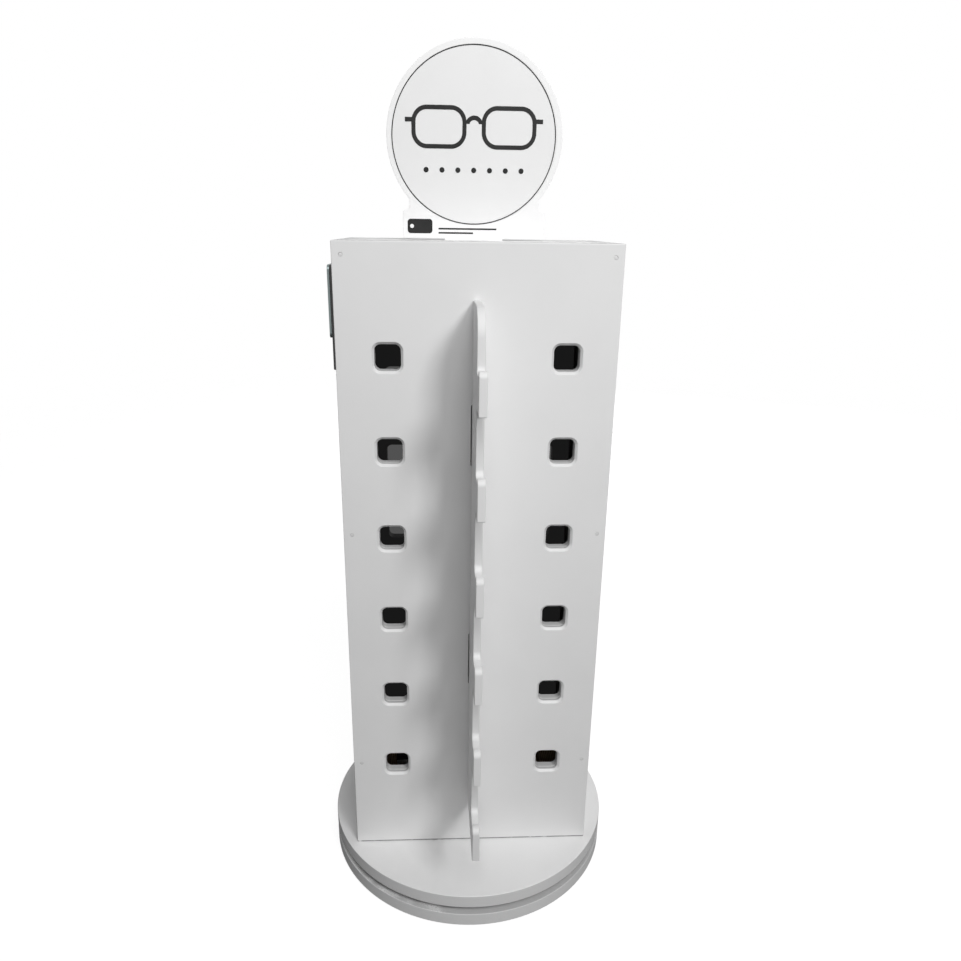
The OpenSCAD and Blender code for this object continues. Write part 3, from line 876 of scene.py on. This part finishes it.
def run_tree(name, mesh, tree, **values):
    """Runs a tree on a mesh, with its inputs set by identifier, and returns the plain mesh that it makes."""
    obj = bpy.data.objects.new(name, mesh)
    scene.collection.objects.link(obj)
    modifier = obj.modifiers.new(tree.name, "NODES")
    modifier.node_group = tree
    for item in tree.interface.items_tree:
        key = item.name.replace(" ", "_")
        if item.in_out == "INPUT" and key in values:
            modifier[item.identifier] = values[key]
    depsgraph = bpy.context.evaluated_depsgraph_get()
    made = bpy.data.meshes.new_from_object(
        obj.evaluated_get(depsgraph), preserve_all_data_layers=True, depsgraph=depsgraph
    )
    obj.modifiers.clear()
    obj.data = made
    return obj


# %% Fastener tree
def dome(tree, radius, height):
    """A pan head that rises towards -Z: half a ball, made flatter on top."""
    ball = add(tree, "GeometryNodeMeshUVSphere", {"Segments": 24, "Rings": 14, "Radius": radius}).outputs[0]
    place = add(tree, "ShaderNodeSeparateXYZ", {0: add(tree, "GeometryNodeInputPosition").outputs[0]}).outputs
    share = math_node(tree, "MAXIMUM", math_node(tree, "DIVIDE", place["Z"], radius), 0.0)
    rise = times(tree, math_node(tree, "POWER", share, 0.45), height)
    raised = add(tree, "ShaderNodeCombineXYZ", {0: place["X"], 1: place["Y"], 2: rise}).outputs[0]
    shaped = add(tree, "GeometryNodeSetPosition", {"Geometry": ball, "Position": raised}).outputs[0]
    over = (math.pi, 0.0, 0.0)
    return add(tree, "GeometryNodeTransform", {"Geometry": shaped, "Rotation": over}).outputs[0]


def cross_recess(tree, width, height):
    """Two crossed bars that are cut out of a head, to a third of their width."""
    narrow, deep = times(tree, width, 0.24), times(tree, width, 0.66)
    bars = []
    for x, y in ((width, narrow), (narrow, width)):
        size = add(tree, "ShaderNodeCombineXYZ", {0: x, 1: y, 2: deep}).outputs[0]
        bars.append(add(tree, "GeometryNodeMeshCube", {"Size": size}).outputs[0])
    return [moved(tree, bar, z=times(tree, height, -1.0)) for bar in bars]


def thread(tree, radius, pitch, length):
    """A round ridge that winds up the shank."""
    turns = math_node(tree, "DIVIDE", length, pitch)
    winding = add(tree, "GeometryNodeCurveSpiral", {
        "Resolution": 14, "Rotations": turns, "Start Radius": radius, "End Radius": radius, "Height": length,
    }).outputs[0]
    ridge = times(tree, pitch, 0.3)
    section = add(tree, "GeometryNodeCurvePrimitiveCircle", {"Resolution": 5, "Radius": ridge}).outputs[0]
    return add(tree, "GeometryNodeCurveToMesh", {"Curve": winding, "Profile Curve": section,
                                                 "Fill Caps": True}).outputs[0]


def make_fastener_tree():
    sizes = ["Head Radius", "Head Height", "Countersink", "Shank Radius", "Length", "Thread Pitch", "Recess"]
    tree, given, result = new_shape_tree("fasteners", [(size, "NodeSocketFloat") for size in sizes] + [
        ("Seed", "NodeSocketInt"), ("Finish", "NodeSocketMaterial")])
    radius, height, sink, shank, length, pitch, recess = (given[size] for size in sizes)
    cone = add(tree, "GeometryNodeMeshCone", {"Vertices": 32, "Radius Top": shank, "Radius Bottom": radius,
                                              "Depth": sink}).outputs[0]
    flat = math_node(tree, "GREATER_THAN", sink, 0.0)
    head = either(tree, flat, cone, dome(tree, radius, height))
    cut = add(tree, "GeometryNodeMeshBoolean", {"Mesh 1": head}, operation="DIFFERENCE", solver="EXACT")
    for bar in cross_recess(tree, recess, height):
        tree.links.new(bar, cut.inputs["Mesh 2"])
    driven = math_node(tree, "GREATER_THAN", recess, 0.0)
    head = either(tree, driven, cut.outputs[0], head)
    threaded = math_node(tree, "GREATER_THAN", pitch, 0.0)
    slimmer = inverted(tree, times(tree, threaded, 0.2))
    core = times(tree, shank, slimmer)
    tip = times(tree, shank, 2.0)
    body = math_node(tree, "SUBTRACT", length, tip)
    rod = add(tree, "GeometryNodeMeshCylinder", {"Vertices": 24, "Radius": core, "Depth": body}).outputs[0]
    rod = moved(tree, rod, z=times(tree, body, 0.5))
    point = add(tree, "GeometryNodeMeshCone", {"Vertices": 24, "Radius Top": 0.0, "Radius Bottom": core,
                                               "Depth": tip}).outputs[0]
    start = times(tree, length, 0.2)
    threadable = math_node(tree, "SUBTRACT", math_node(tree, "SUBTRACT", body, start), pitch)
    wound = thread(tree, core, pitch, threadable)
    wound = add(tree, "GeometryNodeSwitch", {"Switch": threaded, "True": moved(tree, wound, z=start)},
                input_type="GEOMETRY").outputs[0]
    whole = joined(tree, head, rod, moved(tree, point, z=body), wound)
    drive = add(tree, "GeometryNodeInputNamedAttribute", {"Name": "drive"}, data_type="FLOAT_VECTOR")
    aim = add(tree, "FunctionNodeAlignRotationToVector", {"Vector": drive.outputs[0]}, axis="Z").outputs[0]
    turn = add(tree, "FunctionNodeRandomValue", {"Min": 0.0, "Max": math.tau, "Seed": given["Seed"]},
               data_type="FLOAT")
    spin = add(tree, "FunctionNodeAxisAngleToRotation", {"Axis": (0.0, 0.0, 1.0), "Angle": turn.outputs[1]})
    turned = add(tree, "FunctionNodeRotateRotation", {"Rotation": aim, "Rotate By": spin.outputs[0]},
                 rotation_space="LOCAL").outputs[0]
    placed = add(tree, "GeometryNodeInstanceOnPoints", {"Points": given["Geometry"], "Instance": whole,
                                                        "Rotation": turned}).outputs[0]
    finish_tree(tree, placed, given["Finish"], result[0])
    return tree


fastener_tree = make_fastener_tree()


# %% Place a set of fasteners
def fasteners(name, node, drive_of, head, material, body,
              seed=0, sink=0.0, pitch=1.1 * mm, recess=0.55):
    """
    One fastener for each solid of a CAD node. Its sizes are read from the solid, apart from its head: the
    widest part is the head, and the shank is half as wide. The recess is a share of the head's width.
    """
    seats, drives = [], []
    for low, high in loose_boxes(node):
        centre, size = (low + high) / 2, high - low
        drive = Vector(drive_of(centre))
        along = abs(size.dot(drive))
        across = min(size.dot(Vector(map(abs, other))) for other in ((1, 0, 0), (0, 1, 0), (0, 0, 1))
                     if abs(Vector(other).dot(drive)) < 0.5)
        seats.append(centre - drive * (along / 2 - head))
        drives.append(drive)
    mesh = bpy.data.meshes.new(name)
    mesh.from_pydata(seats, [], [])
    aims = mesh.attributes.new("drive", "FLOAT_VECTOR", "POINT")
    aims.data.foreach_set("vector", [c for drive in drives for c in drive])
    obj = run_tree(name, mesh, fastener_tree, Head_Radius=across / 2, Head_Height=0.0 if sink else head,
                   Countersink=sink, Shank_Radius=across / 4, Length=along - head, Thread_Pitch=pitch,
                   Recess=across * recess, Seed=seed, Finish=material)
    settle(obj, node, body)


sharp_fitting_edge = math.radians(38)


def settle(obj, node, body):
    """Shades a finished piece, and gives it the CAD node's place in the object."""
    obj.data.shade_smooth()
    obj.data.set_sharp_from_angle(angle=sharp_fitting_edge)
    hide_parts(node)
    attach(obj, body)
    print(f"{obj.name}: {len(obj.data.polygons)} faces")


def upwards(place):
    return 0, 0, 1


def downwards(place):
    return 0, 0, -1


def outwards(place):
    return math.copysign(1, place.x), 0, 0


def to_the_right(place):
    return 1, 0, 0


# Piece, CAD node, way it is driven, height of its head and of its countersink in mm, body
screw_sets = (
    ("foot_screw_set", "foot_screws", upwards, 1.2, 0.0, "base"),
    ("lower_plate_screw_set", "bearing_bottom_screws", downwards, 1.7, 0.0, "base"),
    ("upper_plate_screw_set", "bearing_top_screws", upwards, 1.7, 0.0, "tower"),
    ("turntable_screw_set", "turntable_screws", upwards, 0.0, 2.3, "tower"),
    ("top_cleat_screw_set", "top_cleat_screws", outwards, 2.4, 0.0, "tower"),
    ("bottom_cleat_screw_set", "bottom_cleat_screws", outwards, 2.4, 0.0, "tower"),
)
for seed, (name, node, drive_of, head, sink, body) in enumerate(screw_sets):
    fasteners(name, node, drive_of, head * mm, steel, body, seed, sink * mm)
fasteners("mirror_screw_set", "side_mirror_screws", to_the_right, 1.4 * mm, dark_steel, "tower",
          seed=7)

# %% Nails
for name, inwards in (("front_panel_nails", (0, 1, 0)), ("back_panel_nails", (0, -1, 0))):
    fasteners(f"{name}_set", name, lambda place: inwards, 0.6 * mm, painted_nail, "tower",
              pitch=0.0, recess=0.0)

# %% [markdown]
# ## Bearing balls and rubber feet
# Thirty-two balls run between the two plates, and four rubber feet stand under the base. Both are copies
# of one piece round a circle, so a second tree takes the piece, the count and the radius. The ball is a
# subdivided icosahedron, which has no poles, and the foot is a closed profile turned on a lathe.

# %% Ring tree
def make_ring_tree():
    tree, given, result = new_shape_tree("ring_of_pieces", [
        ("Piece", "NodeSocketObject"), ("Count", "NodeSocketInt"), ("Radius", "NodeSocketFloat"),
        ("Height", "NodeSocketFloat"), ("First Angle", "NodeSocketFloat"), ("Finish", "NodeSocketMaterial")])
    circle = add(tree, "GeometryNodeMeshCircle", {"Vertices": given["Count"], "Radius": given["Radius"]})
    lifted = moved(tree, circle.outputs[0], z=given["Height"])
    angle = add(tree, "ShaderNodeCombineXYZ", {2: given["First Angle"]}).outputs[0]
    turned = add(tree, "GeometryNodeTransform", {"Geometry": lifted, "Rotation": angle}).outputs[0]
    piece = add(tree, "GeometryNodeObjectInfo", {"Object": given["Piece"]}).outputs["Geometry"]
    placed = add(tree, "GeometryNodeInstanceOnPoints", {"Points": turned, "Instance": piece}).outputs[0]
    finish_tree(tree, placed, given["Finish"], result[0])
    return tree


ring_tree = make_ring_tree()


# %% Pieces to repeat
def plain_object(name, shell):
    obj = bpy.data.objects.new(name, bpy.data.meshes.new(name))
    shell.to_mesh(obj.data)
    shell.free()
    scene.collection.objects.link(obj)
    return obj


def ball(radius):
    shell = bmesh.new()
    bmesh.ops.create_icosphere(shell, subdivisions=3, radius=radius)
    return plain_object("one_ball", shell)


def lathed(name, profile, segments):
    """Turns a closed outline of (radius, height) round the Z axis."""
    shell = bmesh.new()
    rings = []
    for i in range(segments):
        turn = math.tau * i / segments
        rings.append([shell.verts.new((p.x * math.cos(turn), p.x * math.sin(turn), p.y)) for p in profile])
    for i, ring in enumerate(rings):
        for k in range(len(ring)):
            shell.faces.new((rings[i - 1][k - 1], rings[i - 1][k], ring[k], ring[k - 1]))
    bmesh.ops.recalc_face_normals(shell, faces=shell.faces)
    return plain_object(name, shell)


def foot(radius, height):
    """A rubber foot: a slight taper, a recess for the screw head and two grip rings underneath."""
    bore, recess, shelf = 2.1 * mm, 4.0 * mm, height - 1.6 * mm
    taper, half_groove, groove_depth = 0.6 * mm, 0.3 * mm, 0.4 * mm
    outline = [(bore, height), (radius, height), (radius - taper, 0)]
    for at in (0.72 * radius, 0.86 * radius):
        outline[3:3] = [(at + half_groove, 0), (at, groove_depth), (at - half_groove, 0)]
    outline += [(recess, 0), (recess, shelf), (bore, shelf)]
    return lathed("one_foot", softened_outline([Vector(p) for p in outline], 0.25 * mm), 64)


# %% Balls and feet
for name, node, first_angle, slot, material in (
    ("ball_ring", "bearing_balls", 0.0, "steel", steel),
    ("foot_ring", "rubber_feet", math.radians(45), "rubber", rubber),
):
    solids = loose_boxes(node)
    low, high = solids[0]
    radius = (high.x - low.x) / 2
    centre = (low + high) / 2
    if node == "bearing_balls":
        piece, height = ball(radius), centre.z
    else:
        piece, height = foot(radius, high.z - low.z), low.z
    ring = run_tree(name, bpy.data.meshes.new(name), ring_tree, Piece=piece, Count=len(solids),
                    Radius=math.hypot(centre.x, centre.y), Height=height, First_Angle=first_angle,
                    Finish=material)
    settle(ring, node, "base")
    bpy.data.objects.remove(piece)

# %% [markdown]
# ## Parts that keep their CAD shape
# The cleats and the two bearing plates are plain bars and pressings, and the print on the sign is a film
# with no thickness to speak of. Their CAD shapes are right as they are, so they only get a finish.

# %% CAD nodes that keep their shape
def refinish(node, material):
    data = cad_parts[node].data
    data.materials.clear()
    data.materials.append(material)
    print(f"{node}: {material.name}")


refinish("sign_graphics", ink_black)
for name in ("top_cleats", "bottom_cleats"):
    refinish(name, wood)
for name in ("bearing_top_plate", "bearing_bottom_plate"):
    refinish(name, steel)

# %% [markdown]
# ## What is seen right through the column
# Some of the left-hand holes line up with holes in the back, and the backdrop shows through them. A real
# room is dim behind a display, but this studio is white all over for the camera. A sheet of see-through
# grey stands inside the column, just before the back panel, and dims that view: painted shade for the dim
# room. It also has a faint glow, painted light, and most of the dark grey seen in the other holes is that
# glow, not the paint behind it. The sheet belongs to the studio, not to the object, and it rides on the
# column so that it stays inside.

# %% Dimming sheet
def dimming_sheet(pass_through, painted_glow_level):
    material, tree = new_material("dimming_sheet")
    # Painted shade: the grey see-through sheet dims what is seen through the holes.
    sheer = add(tree, "ShaderNodeBsdfTransparent", {"Color": grey(pass_through)})
    # Painted light: the sheet's emission is a faint glow with no lamp behind it.
    painted_glow = add(tree, "ShaderNodeEmission", {"Color": grey(1.0), "Strength": painted_glow_level})
    both = add(tree, "ShaderNodeAddShader", {0: sheer.outputs[0], 1: painted_glow.outputs[0]})
    add(tree, "ShaderNodeOutputMaterial", {"Surface": both.outputs[0]})
    panel_low, panel_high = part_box("back_panel")
    before_panel, from_sides, above_deck, below_top = 2 * mm, 14 * mm, 25 * mm, 30 * mm
    half_width, y = panel_high.x - from_sides, panel_low.y - before_panel
    low, high = panel_low.z + above_deck, panel_high.z - below_top
    mesh = bpy.data.meshes.new("dimming_sheet")
    corners = [(-half_width, y, low), (half_width, y, low), (half_width, y, high), (-half_width, y, high)]
    mesh.from_pydata(corners, [], [(0, 1, 2, 3)])
    mesh.materials.append(material)
    sheet = bpy.data.objects.new("dimming_sheet", mesh)
    scene.collection.objects.link(sheet)
    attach(sheet, "tower")
    print(f"dimming sheet at y = {y:.3f}, lets {pass_through:.0%} through")


dimming_sheet(pass_through=0.07, painted_glow_level=0.009)
